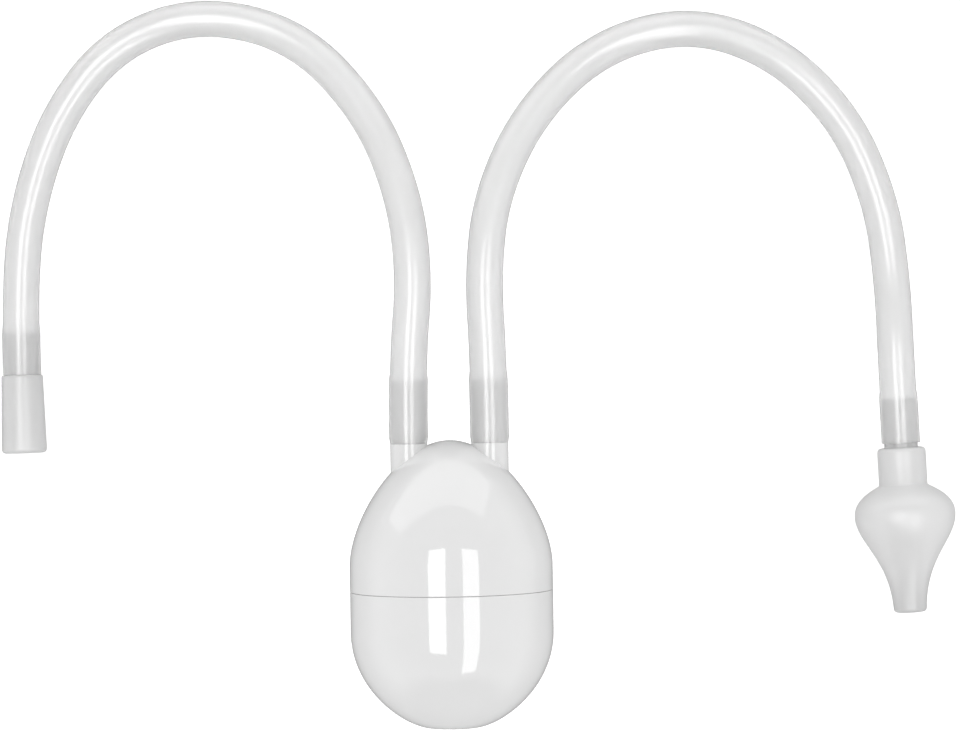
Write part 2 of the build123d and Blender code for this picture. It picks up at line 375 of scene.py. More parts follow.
@dataclass(frozen=True)
class MattSilicone(Moulded):
    """Milky silicone rubber with a matt skin.

    Attributes:
        painted_shade_span: Places in metres along Y between which a painted shade fades out,
            deepest in tone at the first and gone at the second, or nothing on a piece of one tone.
        milk_share: How much its milk's clouds move the tone of a piece with painted shade.
    """

    skin_index: float = 1.68
    skin_roughness: float = 0.42
    index: float = 1.41
    blur: float = 0.42
    blur_spread: float = 0.1
    relief_depth: float = 0.00002
    relief_strength: float = 0.25
    painted_shade_span: Point | None = None
    milk_share: float = 0.15
    milk_cells: float = 140.0
    grain_cells: float = 5200.0

    def material(self) -> bpy.types.Material:
        """Build the silicone's milk, its fine grain, its soft sheen and, where a span is set, a
        painted shade.

        Returns:
            The material.
        """
        recipe = Recipe(self.name)
        where = recipe.place()
        milk = recipe.noise(where, self.milk_cells, 3.0)
        tone = milk
        # Painted shade: towards the low-Y end the tone sinks to the deep tone, standing in for the
        # shade on the outlet cone that faces away from the light.
        if self.painted_shade_span is not None:
            along = recipe.split(where)[1]
            clouds = (1 - self.milk_share) + self.milk_share * milk
            tone = clouds * recipe.smooth_step(along, *self.painted_shade_span)
        grain = recipe.noise(where, self.grain_cells, 2.0)
        return self.coated(recipe, tone, milk, grain)


# --- mesh building ----------------------------------------------------------


class Outline:
    """A turned piece's outline as (radius, along) points, drawn corner by corner."""

    def __init__(self, start: Point) -> None:
        """Begin at one point."""
        self.points: list[Point] = [start]

    def line(self, *corners: Point) -> "Outline":
        """Straight lines through the corners."""
        self.points.extend(corners)
        return self

    def curve(self, first: Point, second: Point, end: Point, steps: int = 28) -> "Outline":
        """A cubic curve with two handles.

        Args:
            first: Handle of the last point.
            second: Handle of the end.
            end: The curve's end.
            steps: Number of chords.

        Returns:
            This outline.
        """
        start = self.points[-1]
        for i in range(1, steps + 1):
            t = i / steps
            u = 1 - t
            weights = (u * u * u, 3 * u * u * t, 3 * u * t * t, t * t * t)
            spots = (start, first, second, end)
            self.points.append(
                (
                    sum(w * p[0] for w, p in zip(weights, spots)),
                    sum(w * p[1] for w, p in zip(weights, spots)),
                )
            )
        return self

    def corner(self, tip: Point, leave: Point, size: float, steps: int = 6) -> "Outline":
        """A rounded corner between the line that arrives and the line that leaves.

        Args:
            tip: Where the sharp corner would be.
            leave: A point that the next line goes to.
            size: Distance from the tip to each end of the rounding.
            steps: Number of chords.

        Returns:
            This outline.
        """
        here = Vector(tip)
        back = (Vector(self.points[-1]) - here).normalized() * size
        on = (Vector(leave) - here).normalized() * size
        start = here + back
        end = here + on
        self.points.append(tuple(start))
        for i in range(1, steps + 1):
            t = i / steps
            self.points.append(tuple((1 - t) ** 2 * start + 2 * t * (1 - t) * here + t * t * end))
        return self


@dataclass(frozen=True)
class Lathe:
    """An axis that outlines are turned about."""

    origin: Vector
    along: Vector
    side: Vector | None = None

    def at(self, radius: float, along: float) -> Vector:
        """The place of an outline's point before it is turned."""
        side = self.side or self.along.cross(UP)
        return self.origin + side * radius + self.along * along

    def turn(self, outline: Outline, steps: int, closed: bool = True) -> bmesh.types.BMesh:
        """Spin an outline into a closed skin.

        Args:
            outline: The outline to turn.
            steps: Facets round the axis.
            closed: Whether the outline's end joins its start, as on a ring or a tube.

        Returns:
            The turned mesh.
        """
        bm = bmesh.new()
        verts = [bm.verts.new(self.at(r, s)) for r, s in outline.points]
        edges = [bm.edges.new(pair) for pair in zip(verts, verts[1:])]
        if closed:
            edges.append(bm.edges.new((verts[-1], verts[0])))
        bmesh.ops.spin(
            bm,
            geom=[*verts, *edges],
            cent=self.origin,
            axis=self.along,
            angle=math.tau,
            steps=steps,
            use_merge=True,
        )
        bmesh.ops.remove_doubles(bm, verts=bm.verts, dist=MERGE_DISTANCE)
        bmesh.ops.recalc_face_normals(bm, faces=bm.faces)
        return bm


def make_object(name: str, bm: bmesh.types.BMesh, sharp: float = 32.0) -> bpy.types.Object:
    """Turn a bmesh into a smooth-shaded object at the origin.

    Args:
        name: The object's name.
        bm: The mesh, which is freed.
        sharp: Edges that turn by more degrees than this stay crisp.

    Returns:
        The object, linked to the scene.
    """
    mesh = bpy.data.meshes.new(name)
    bm.to_mesh(mesh)
    bm.free()
    mesh.shade_smooth()
    mesh.set_sharp_from_angle(angle=math.radians(sharp))
    piece = bpy.data.objects.new(name, mesh)
    bpy.context.scene.collection.objects.link(piece)
    return piece


def carve(piece: bpy.types.Object, other: bmesh.types.BMesh, operation: str) -> None:
    """Join a shape to a piece, or cut it away.

    Args:
        piece: The piece that changes.
        other: The shape, which is used up.
        operation: UNION or DIFFERENCE.
    """
    tool = make_object(piece.name + "_tool", other)
    modifier = piece.modifiers.new("carve", "BOOLEAN")
    modifier.operation = operation
    modifier.solver = "EXACT"
    modifier.object = tool
    graph = bpy.context.evaluated_depsgraph_get()
    graph.update()
    carved = bpy.data.meshes.new_from_object(piece.evaluated_get(graph))
    old = piece.data
    piece.modifiers.clear()
    piece.data = carved
    bpy.data.meshes.remove(old)
    bpy.data.objects.remove(tool)


@dataclass(frozen=True)
class Spigot:
    """A barbed spigot that a hose is pushed onto.

    Attributes:
        root: Radius between the ridges.
        ridge: Radius on the ridges.
        bore: Radius of its air way.
        crest_at: Where a crest stands, as a share of the step between ridges.
        rise: Where its flank begins, that share before the crest's end.
        crest: The crest's own share.
        fall: The share after the crest that its other flank takes.
        tip_ease: How much slimmer the tip is than the root.
    """

    root: float = 0.0022
    ridge: float = 0.00245
    bore: float = 0.0015
    crest_at: float = 0.55
    rise: float = 0.12
    crest: float = 0.03
    fall: float = 0.42
    tip_ease: float = 0.00015

    def draw(self, outline: Outline, start: float, end: float, count: int) -> None:
        """Draw the barbed side from the root to the tip.

        Args:
            outline: The outline so far, at the spigot's root.
            start: Where the spigot begins along the axis.
            end: Where its tip is.
            count: Number of ridges.
        """
        step = (end - start) / count
        for i in range(count):
            top = start + (i + self.crest_at) * step
            outline.line((self.root, top - self.rise * step), (self.ridge, top - self.crest * step))
            outline.line((self.ridge, top))
            if i < count - 1:
                outline.line((self.root, top + self.fall * step))
        outline.line((self.root - self.tip_ease, end))

    def inward(self, length: float, count: int = 2) -> list[Point]:
        """The barbed side of a fitting whose spigot points back into its hose.

        Args:
            length: The spigot's length.
            count: Number of ridges.

        Returns:
            The side's points from the tip to the root, before the fitting's face.
        """
        side = Outline((self.root, 0.0))
        self.draw(side, 0.0, length, count)
        return [(radius, -along) for radius, along in reversed(side.points)]


SPIGOT = Spigot()


def dress(
    piece: bpy.types.Object, body: str, node: str, material: bpy.types.Material
) -> bpy.types.Object:
    """Give a piece its material and tie it to the frame.

    Args:
        piece: The piece.
        body: The frame's body that it rides on.
        node: The frame's node that it stands for.
        material: Its material.

    Returns:
        The piece.
    """
    piece.data.materials.clear()
    piece.data.materials.append(material)
    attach(piece, body)
    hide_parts(node)
    log.info("%s stands for %s on %s", piece.name, node, body)
    return piece


# --- the collection chamber -------------------------------------------------


@dataclass
class Duckbill:
    """The valve: a round sleeve that closes to two flat lips.

    Attributes:
        axis: The nose port's axis.
        top: Where the sleeve begins along it.
        bottom: Where the lips end.
        outer: The sleeve's radius.
        bore: The radius of its inside.
        sleeve_end: Where the spout inside the sleeve ends.
        shoulder: Width and depth of the shoulder, as shares of the sleeve's.
    """

    axis: Lathe
    top: float
    bottom: float
    outer: float
    bore: float
    sleeve_end: float
    edge: float = 0.0003
    lead_in: float = 0.0002
    above_shoulder: float = 0.0008
    below_shoulder: float = 0.0012
    shoulder: Point = (0.96, 0.90)
    lip_length: float = 0.0020
    lip_width: float = 0.0036
    lip_root_depth: float = 0.0016
    lip_depth: float = 0.0010
    slit_width: float = 0.0028
    slit_gap: float = 0.00015
    segments: int = 48

    def rings(self) -> list[tuple[float, float, float]]:
        """Sections of the skin, from the inside of the sleeve round its lips and back.

        Returns:
            Each section's place on the axis, half width and half depth.
        """
        wide, deep = (self.outer * share for share in self.shoulder)
        lip_end = (self.lip_width - self.lead_in, self.lip_depth - self.lead_in)
        return [
            (self.top - self.edge, self.bore, self.bore),
            (self.top, self.bore + self.lead_in, self.bore + self.lead_in),
            (self.top, self.outer - self.edge, self.outer - self.edge),
            (self.top - self.edge, self.outer, self.outer),
            (self.sleeve_end + self.above_shoulder, self.outer, self.outer),
            (self.sleeve_end - self.below_shoulder, wide, deep),
            (self.bottom + self.lip_length, self.lip_width, self.lip_root_depth),
            (self.bottom + self.edge, self.lip_width, self.lip_depth),
            (self.bottom, *lip_end),
            (self.bottom, self.slit_width, self.slit_gap),
            (self.sleeve_end, self.bore, self.bore),
        ]

    def build(self) -> bpy.types.Object:
        """Bridge the sections into one closed skin.

        Returns:
            The valve.
        """
        bm = bmesh.new()
        loops = []
        for along, wide, deep in self.rings():
            matrix = (
                Matrix.Translation(self.axis.at(0.0, along))
                @ Matrix.Rotation(math.radians(-90.0), 4, "X")
                @ Matrix.Diagonal((wide, deep, 1.0, 1.0))
            )
            made = bmesh.ops.create_circle(bm, segments=self.segments, radius=1.0, matrix=matrix)
            loops.append(list({e for v in made["verts"] for e in v.link_edges}))
        for first, second in zip(loops, [*loops[1:], loops[0]]):
            bmesh.ops.bridge_loops(bm, edges=[*first, *second])
        bmesh.ops.recalc_face_normals(bm, faces=bm.faces)
        return make_object("backflow_valve_body", bm, 40.0)


@dataclass
class Chamber:
    """The two milky halves, their seal and the valve under the nose port.

    Places along the axis are measured from the chamber's middle, up to the ports.
    Each curve's shoulder and crown are its handles on the side and over the pole.
    """

    plastic: bpy.types.Material
    silicone: bpy.types.Material
    wall: float = 0.0013
    ease: float = 0.00015
    fit: float = 0.00005
    dome_start: float = 0.0034
    dome_top: float = 0.0272
    dome_shoulder: float = 0.0126
    dome_crown: float = 0.0096
    cavity_shoulder: float = 0.0122
    cavity_crown: float = 0.0090
    bowl_start: float = -0.0090
    bowl_bottom: float = -0.0272
    bowl_shoulder: float = -0.0205
    bowl_crown: float = 0.0085
    well_shoulder: float = -0.0185
    well_crown: float = 0.0095
    well_floor: float = 0.0036
    foot_radius: float = 0.0046
    foot_edge: float = 0.0001
    recess_radius: float = 0.0028
    recess_depth: float = 0.0007
    recess_slope: float = 0.0004
    skirt_inner: float = 0.0162
    skirt_ramp: float = 0.0025
    groove_floor: float = 0.0171
    groove_play: float = 0.0001
    ring_inner_edge: float = 0.0002
    ring_outer_edge: float = 0.00025
    port_offset: float = 0.0077
    boss_top: float = 0.0266
    boss_radius: float = 0.0035
    spigot_length: float = 0.0120
    spigot_ridges: int = 3
    spout_radius: float = 0.0026
    spout_end: float = 0.0150
    crisp: float = 28.0
    facets: int = 160
    fine_facets: int = 64
    outer_chords: int = 44
    inner_chords: int = 40

    def __post_init__(self) -> None:
        """Read the chamber's radius, seam and middle from the frame."""
        low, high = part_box("lower_cup")
        self.radius: float = (high.x - low.x) / 2
        self.inner_radius: float = self.radius - self.wall
        self.middle_y: float = low.y - self.bowl_bottom
        self.cup_rim: float = high.y - self.middle_y
        self.lathe = Lathe(Vector((0.0, self.middle_y, self.radius)), Vector((0.0, 1.0, 0.0)))
        ring_low, ring_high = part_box("seal_ring")
        self.ring_radius: float = (ring_high.x - ring_low.x) / 2
        self.ring_span: Point = (ring_low.y - self.middle_y, ring_high.y - self.middle_y)
        self.skirt_end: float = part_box("upper_shell")[0].y - self.middle_y
        self.seam: float = self.cup_rim + self.fit
        self.skirt_radius: float = self.inner_radius - self.fit

    def port(self, side: int) -> Lathe:
        """The axis of the port on one side, -1 for the mouth hose and 1 for the nose hose."""
        origin = Vector((side * self.port_offset, self.middle_y, self.radius))
        return Lathe(origin, self.lathe.along)

    def rod(self, axis: Lathe, radius: float, start: float, end: float) -> bmesh.types.BMesh:
        """A plain round bar on an axis, as a shape to join or cut with."""
        outline = Outline((0.0, start)).line((radius, start), (radius, end), (0.0, end))
        return axis.turn(outline, self.fine_facets, closed=False)

    def outside(self) -> Outline:
        """The shell's outer outline, from the skirt's end over the dome.

        Returns:
            The outline.
        """
        radius, ease = self.radius, self.ease
        outline = Outline((0.0, self.skirt_end))
        outline.line((self.skirt_radius - ease, self.skirt_end))
        outline.line((self.skirt_radius, self.skirt_end + ease), (self.skirt_radius, self.seam))
        outline.corner((radius, self.seam), (radius, self.dome_start), ease)
        outline.line((radius, self.dome_start))
        return outline.curve(
            (radius, self.dome_shoulder),
            (self.dome_crown, self.dome_top),
            (0.0, self.dome_top),
            self.outer_chords,
        )

    def cavity(self) -> Outline:
        """The outline of the shell's inside, from below the skirt up to the dome's ceiling.

        Returns:
            The outline.
        """
        radius, ceiling = self.inner_radius, self.dome_top - self.wall
        outline = Outline((0.0, self.skirt_end - OVERRUN))
        outline.line((self.skirt_inner, self.skirt_end - OVERRUN), (self.skirt_inner, self.seam))
        outline.line((radius, self.seam + self.skirt_ramp), (radius, self.dome_start))
        return outline.curve(
            (radius, self.cavity_shoulder),
            (self.cavity_crown, ceiling),
            (0.0, ceiling),
            self.inner_chords,
        )

    def groove(self) -> Outline:
        """The outline of the seal's groove in the skirt.

        Returns:
            The outline.
        """
        low, high = self.ring_span[0] - self.groove_play, self.ring_span[1] + self.groove_play
        outline = Outline((self.groove_floor, low))
        return outline.line((self.radius, low), (self.radius, high), (self.groove_floor, high))

    def spigot(self) -> Outline:
        """The outline of a port's spigot, rooted inside its boss.

        Returns:
            The outline.
        """
        tip = self.boss_top + self.spigot_length
        outline = Outline((0.0, self.boss_top - OVERRUN))
        outline.line((SPIGOT.root, self.boss_top - OVERRUN), (SPIGOT.root, self.boss_top))
        SPIGOT.draw(outline, self.boss_top, tip, self.spigot_ridges)
        return outline.line((0.0, tip))

    def shell(self) -> bpy.types.Object:
        """The dome with its skirt, ports, barbed spigots and inner spout.

        Returns:
            The shell.
        """
        sides = (-1, 1)
        dome = self.lathe.turn(self.outside(), self.facets, closed=False)
        piece = make_object("upper_shell_skin", dome)
        for side in sides:
            boss = self.rod(self.port(side), self.boss_radius, self.dome_start, self.boss_top)
            carve(piece, boss, "UNION")
        carve(piece, self.lathe.turn(self.cavity(), self.facets, closed=False), "DIFFERENCE")
        carve(piece, self.lathe.turn(self.groove(), self.facets), "DIFFERENCE")
        for side in sides:
            barbed = self.port(side).turn(self.spigot(), self.fine_facets, closed=False)
            carve(piece, barbed, "UNION")
        spout = self.rod(self.port(1), self.spout_radius, self.spout_end, self.boss_top - OVERRUN)
        carve(piece, spout, "UNION")
        bore_start = self.spout_end - OVERRUN
        bore_end = self.boss_top + self.spigot_length + OVERRUN
        for side in sides:
            carve(piece, self.rod(self.port(side), SPIGOT.bore, bore_start, bore_end), "DIFFERENCE")
        piece.data.shade_smooth()
        piece.data.set_sharp_from_angle(angle=math.radians(self.crisp))
        return piece

    def cup(self) -> bpy.types.Object:
        """The lower half, with its eased rim and recessed foot.

        Returns:
            The cup.
        """
        radius, inner, bottom = self.radius, self.inner_radius, self.bowl_bottom
        recess = bottom + self.recess_depth
        floor = recess + self.wall
        outline = Outline((0.0, recess)).line((self.recess_radius - self.recess_slope, recess))
        outline.line((self.recess_radius, bottom + self.foot_edge))
        outline.line((self.recess_radius + self.foot_edge, bottom), (self.foot_radius, bottom))
        outline.curve(
            (self.bowl_crown, bottom),
            (radius, self.bowl_shoulder),
            (radius, self.bowl_start),
            self.outer_chords,
        )
        outline.corner((radius, self.cup_rim), (inner, self.cup_rim), self.ease)
        outline.corner((inner, self.cup_rim), (inner, self.bowl_start), self.ease)
        outline.line((inner, self.bowl_start))
        outline.curve(
            (inner, self.well_shoulder),
            (self.well_crown, floor),
            (self.well_floor, floor),
            self.inner_chords,
        )
        outline.line((0.0, floor))
        return make_object("lower_cup_skin", self.lathe.turn(outline, self.facets, closed=False))

    def ring(self) -> bpy.types.Object:
        """The seal in the skirt's groove.

        Returns:
            The ring.
        """
        low, high = self.ring_span
        inner, outer = self.groove_floor, self.ring_radius
        outline = Outline((inner, (low + high) / 2))
        outline.corner((inner, low), (outer, low), self.ring_inner_edge)
        outline.corner((outer, low), (outer, high), self.ring_outer_edge)
        outline.corner((outer, high), (inner, high), self.ring_outer_edge)
        outline.corner((inner, high), (inner, low), self.ring_inner_edge)
        return make_object("seal_ring_body", self.lathe.turn(outline, self.facets))

    def valve(self) -> bpy.types.Object:
        """The duckbill on the spout under the nose port.

        Returns:
            The valve.
        """
        low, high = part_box("backflow_valve")
        return Duckbill(
            axis=self.port(1),
            top=high.y - self.middle_y,
            bottom=low.y - self.middle_y,
            outer=(high.z - low.z) / 2,
            bore=self.spout_radius + self.fit,
            sleeve_end=self.spout_end,
        ).build()

    def build(self) -> None:
        """Build and dress all four pieces."""
        dress(self.shell(), "head", "upper_shell", self.plastic)
        dress(self.cup(), "cup", "lower_cup", self.plastic)
        dress(self.ring(), "head", "seal_ring", self.silicone)
        dress(self.valve(), "valve", "backflow_valve", self.silicone)


# --- hoses ------------------------------------------------------------------


@dataclass
class Hose:
    """A clear soft hose on its route, wider where a spigot stretches it.

    Attributes:
        start_spigot: How far the chamber's spigot reaches into it.
        end_spigot: How far its fitting's spigot reaches into it.
        stretch: Extra radius over a spigot.
        fade: Length over which that swelling ends.
    """

    name: str
    node: str
    body: str
    route: Sequence[Place]
    length: float
    tubing: bpy.types.Material
    start_spigot: float
    end_spigot: float
    outer: float = 0.0035
    bore: float = 0.0025
    stretch: float = 0.00018
    fade: float = 0.0020
    facets: int = 48
    chords: int = 24
    crisp: float = 50.0

    def line(self) -> list[Vector]:
        """The smooth line along the route.

        Returns:
            Its points.
        """
        curve = bpy.data.curves.new(self.name + "_line", "CURVE")
        curve.dimensions = "3D"
        spline = curve.splines.new("NURBS")
        spline.points.add(len(self.route) - 1)
        for point, place in zip(spline.points, self.route):
            point.co = (*place, 1.0)
        spline.order_u = 3
        spline.use_endpoint_u = True
        spline.resolution_u = self.chords
        guide = bpy.data.objects.new(self.name + "_line", curve)
        bpy.context.scene.collection.objects.link(guide)
        graph = bpy.context.evaluated_depsgraph_get()
        graph.update()
        mesh = bpy.data.meshes.new_from_object(guide.evaluated_get(graph))
        points = [v.co.copy() for v in mesh.vertices]
        bpy.data.objects.remove(guide)
        bpy.data.curves.remove(curve)
        bpy.data.meshes.remove(mesh)
        return points

    def swell(self, run: float, total: float) -> float:
        """Extra radius where a spigot fills the hose.

        Args:
            run: Distance along the hose.
            total: The hose's length.

        Returns:
            The extra radius there.
        """
        at_start = 1.0 - min(1.0, max(0.0, (run - self.start_spigot) / self.fade))
        at_end = 1.0 - min(1.0, max(0.0, (total - run - self.end_spigot) / self.fade))
        amount = max(at_start, at_end)
        return self.stretch * amount * amount * (3 - 2 * amount)

    def tube(self, points: Sequence[Vector]) -> bmesh.types.BMesh:
        """Draw the hose's wall along the line, open at both ends of its bore.

        Args:
            points: The line's points.

        Returns:
            The closed skin of the wall.
        """
        runs = [0.0]
        for a, b in zip(points, points[1:]):
            runs.append(runs[-1] + (b - a).length)
        bm = bmesh.new()
        heading = (points[1] - points[0]).normalized()
        turn = UP.rotation_difference(heading)
        walls = []
        for radius in (self.outer, self.bore):
            made = bmesh.ops.create_circle(
                bm,
                segments=self.facets,
                radius=radius,
                matrix=Matrix.Translation(points[0]) @ turn.to_matrix().to_4x4(),
            )
            walls.append([radius, made["verts"], heading, points[0], 0.0])
        first = [self._edges(w[1]) for w in walls]
        for i in range(1, len(points)):
            before = points[i] - points[i - 1]
            after = points[min(i + 1, len(points) - 1)] - points[i]
            new_heading = before.normalized()
            if i < len(points) - 1:
                new_heading = (new_heading + after.normalized()).normalized()
            for wall in walls:
                radius, verts, heading, centre, extra = wall
                made = bmesh.ops.extrude_edge_only(bm, edges=self._edges(verts))
                verts = [g for g in made["geom"] if isinstance(g, bmesh.types.BMVert)]
                new_extra = self.swell(runs[i], runs[-1])
                scale = (radius + new_extra) / (radius + extra)
                move = (
                    Matrix.Translation(points[i])
                    @ heading.rotation_difference(new_heading).to_matrix().to_4x4()
                    @ Matrix.Scale(scale, 4)
                    @ Matrix.Translation(-centre)
                )
                bmesh.ops.transform(bm, matrix=move, verts=verts)
                wall[1:] = [verts, new_heading, points[i], new_extra]
        last = [self._edges(w[1]) for w in walls]
        bmesh.ops.bridge_loops(bm, edges=[*first[0], *first[1]])
        bmesh.ops.bridge_loops(bm, edges=[*last[0], *last[1]])
        bmesh.ops.recalc_face_normals(bm, faces=bm.faces)
        return bm

    @staticmethod
    def _edges(verts: Iterable[bmesh.types.BMVert]) -> list[bmesh.types.BMEdge]:
        """The edges of one ring of vertices."""
        ring = set(verts)
        return list({e for v in ring for e in v.link_edges if e.other_vert(v) in ring})

    def build(self, with_pieces: Sequence[bpy.types.Object]) -> None:
        """Args:
            with_pieces: What is on its far end; not used.
        """
        points = self.line()
        piece = make_object(self.name, self.tube(points), self.crisp)
        dress(piece, self.body, self.node, self.tubing)
        2 * self.outer


# --- end fittings -----------------------------------------------------------


def end_lathe(route: Sequence[Place]) -> Lathe:
    """The axis that carries on from a route's last run."""
    end = Vector(route[-1])
    return Lathe(end, (end - Vector(route[-2])).normalized())


@dataclass
class Mouthpiece:
    """The short flared tube that the parent draws on."""

    axis: Lathe
    plastic: bpy.types.Material
    length: float = 0.0151
    top_radius: float = 0.00398
    end_radius: float = 0.00438
    bore: float = 0.0025
    bore_cone: float = 0.0025
    spigot_length: float = 0.0082
    top_edge: float = 0.0003
    end_edge: float = 0.0010
    bore_edge: float = 0.0005
    facets: int = 96

    def build(self) -> bpy.types.Object:
        """Build and dress the mouthpiece with its spigot.

        Returns:
            The mouthpiece.
        """
        outline = Outline((SPIGOT.bore, -self.spigot_length))
        outline.line(*SPIGOT.inward(self.spigot_length))
        outline.corner((self.top_radius, 0.0), (self.end_radius, self.length), self.top_edge)
        outline.corner((self.end_radius, self.length), (self.bore, self.length), self.end_edge, 8)
        outline.corner((self.bore, self.length), (self.bore, self.bore_cone), self.bore_edge)
        outline.line((self.bore, self.bore_cone), (SPIGOT.bore, 0.0))
        piece = make_object("mouthpiece_body", self.axis.turn(outline, self.facets))
        return dress(piece, "mouthpiece", "mouthpiece", self.plastic)


@dataclass
class NasalEnd:
    """The silicone nasal tip and the hard adaptor that joins it to its hose.

    The adaptor's places are measured from the hose's end, and the tip's from its
    own neck, which starts past the adaptor's waist.
    """

    axis: Lathe
    plastic: bpy.types.Material
    silicone: bpy.types.Material
    spigot_length: float = 0.0084
    waist_radius: float = 0.0032
    waist: float = 0.0009
    waist_reach: float = 0.0008
    plug_start: float = 0.0016
    plug_radius: float = 0.0033
    plug: float = 0.0072
    plug_edge: Point = (0.0004, 0.0006)
    neck_radius: float = 0.00465
    neck: float = 0.0075
    neck_edge: float = 0.0009
    neck_blend: float = 0.0004
    neck_turn: float = 0.0001
    bulb_radius: float = 0.00965
    bulb_at: float = 0.0129
    bulb_swell: float = 0.0090
    bulb_shrink: float = 0.0180
    taper_handle: Point = (0.0037, 0.0210)
    end_radius: float = 0.0032
    end_edge: float = 0.0009
    length: float = 0.0317
    socket_radius: float = 0.00335
    socket: float = 0.0080
    socket_edge: float = 0.0002
    socket_cone: float = 0.0025
    outlet_radius: float = 0.0014
    outlet_edge: float = 0.0004
    outlet: float = 0.0070
    adaptor_facets: int = 96
    tip_facets: int = 128
    swell_chords: int = 32
    taper_chords: int = 44

    def adaptor(self) -> bpy.types.Object:
        """The barbed adaptor.

        Returns:
            The adaptor.
        """
        plug_start, plug_end = self.waist + self.plug_start, self.waist + self.plug
        slimmer, shorter = self.plug_edge
        outline = Outline((SPIGOT.bore, -self.spigot_length))
        outline.line(*SPIGOT.inward(self.spigot_length))
        outline.line((self.waist_radius, 0.0), (self.waist_radius, self.waist + self.waist_reach))
        outline.line((self.plug_radius, plug_start), (self.plug_radius, plug_end - shorter))
        outline.line((self.plug_radius - slimmer, plug_end), (SPIGOT.bore, plug_end))
        piece = make_object("tip_connector_body", self.axis.turn(outline, self.adaptor_facets))
        return dress(piece, "adaptor", "tip_connector", self.plastic)

    def tip(self) -> bpy.types.Object:
        """The soft tip: neck, bulb and tapered outlet.

        Returns:
            The tip.
        """
        axis = Lathe(self.axis.at(0.0, self.waist), self.axis.along)
        end, hole = self.end_radius, self.outlet_radius
        outline = Outline((self.socket_radius, self.socket + self.socket_cone))
        outline.line((self.socket_radius, self.socket_edge))
        outline.line((self.socket_radius + self.socket_edge, 0.0))
        outline.corner((self.neck_radius, 0.0), (self.neck_radius, self.neck), self.neck_edge, 8)
        outline.line((self.neck_radius, self.neck - self.neck_blend))
        outline.curve(
            (self.neck_radius + self.neck_turn, self.neck + self.neck_turn),
            (self.bulb_radius, self.bulb_swell),
            (self.bulb_radius, self.bulb_at),
            self.swell_chords,
        )
        outline.curve(
            (self.bulb_radius, self.bulb_shrink),
            self.taper_handle,
            (end, self.length - self.end_edge),
            self.taper_chords,
        )
        outline.corner((end, self.length), (hole, self.length), self.end_edge, 8)
        outline.corner((hole, self.length), (hole, 0.0), self.outlet_edge)
        outline.line((hole, self.length - self.outlet))
        piece = make_object("nasal_tip_body", axis.turn(outline, self.tip_facets))
        return dress(piece, "tip", "nasal_tip", self.silicone)


# --- the table, the lights and the camera -----------------------------------


def area_lamp(name: str, size: Point, radiance: float) -> bpy.types.Object:
    """A rectangular lamp that shows only in gloss and through clear pieces.

    Args:
        name: The lamp's name.
        size: Its two sides.
        radiance: Its brightness.

    Returns:
        The lamp, at the origin and facing down.
    """
    data = bpy.data.lights.new(name, "AREA")
    data.shape = "RECTANGLE"
    data.size, data.size_y = size
    data.energy = radiance * math.pi * data.size * data.size_y
    lamp = bpy.data.objects.new(name, data)
    lamp.visible_camera = False
    lamp.visible_diffuse = False
    bpy.context.scene.collection.objects.link(lamp)
    return lamp


@dataclass(frozen=True)
class StripLight:
    """A long lamp that shows as a streak on glossy curves.

    Attributes:
        name: The lamp's name.
        lean: Degrees from straight up, sideways, of its two long edges.
        reach: Degrees from straight up, along the chamber, of its two ends.
        radiance: Its brightness.
    """

    name: str
    lean: Point
    reach: Point
    radiance: float

    def hang(self, height: float) -> None:
        """Hang the lamp level.

        Args:
            height: Its height over the table.
        """
        left, right = (height * math.tan(math.radians(a)) for a in self.lean)
        near, far = (height * math.tan(math.radians(a)) for a in self.reach)
        lamp = area_lamp(self.name, (right - left, far - near), self.radiance)
        lamp.location = ((left + right) / 2, (near + far) / 2, height)


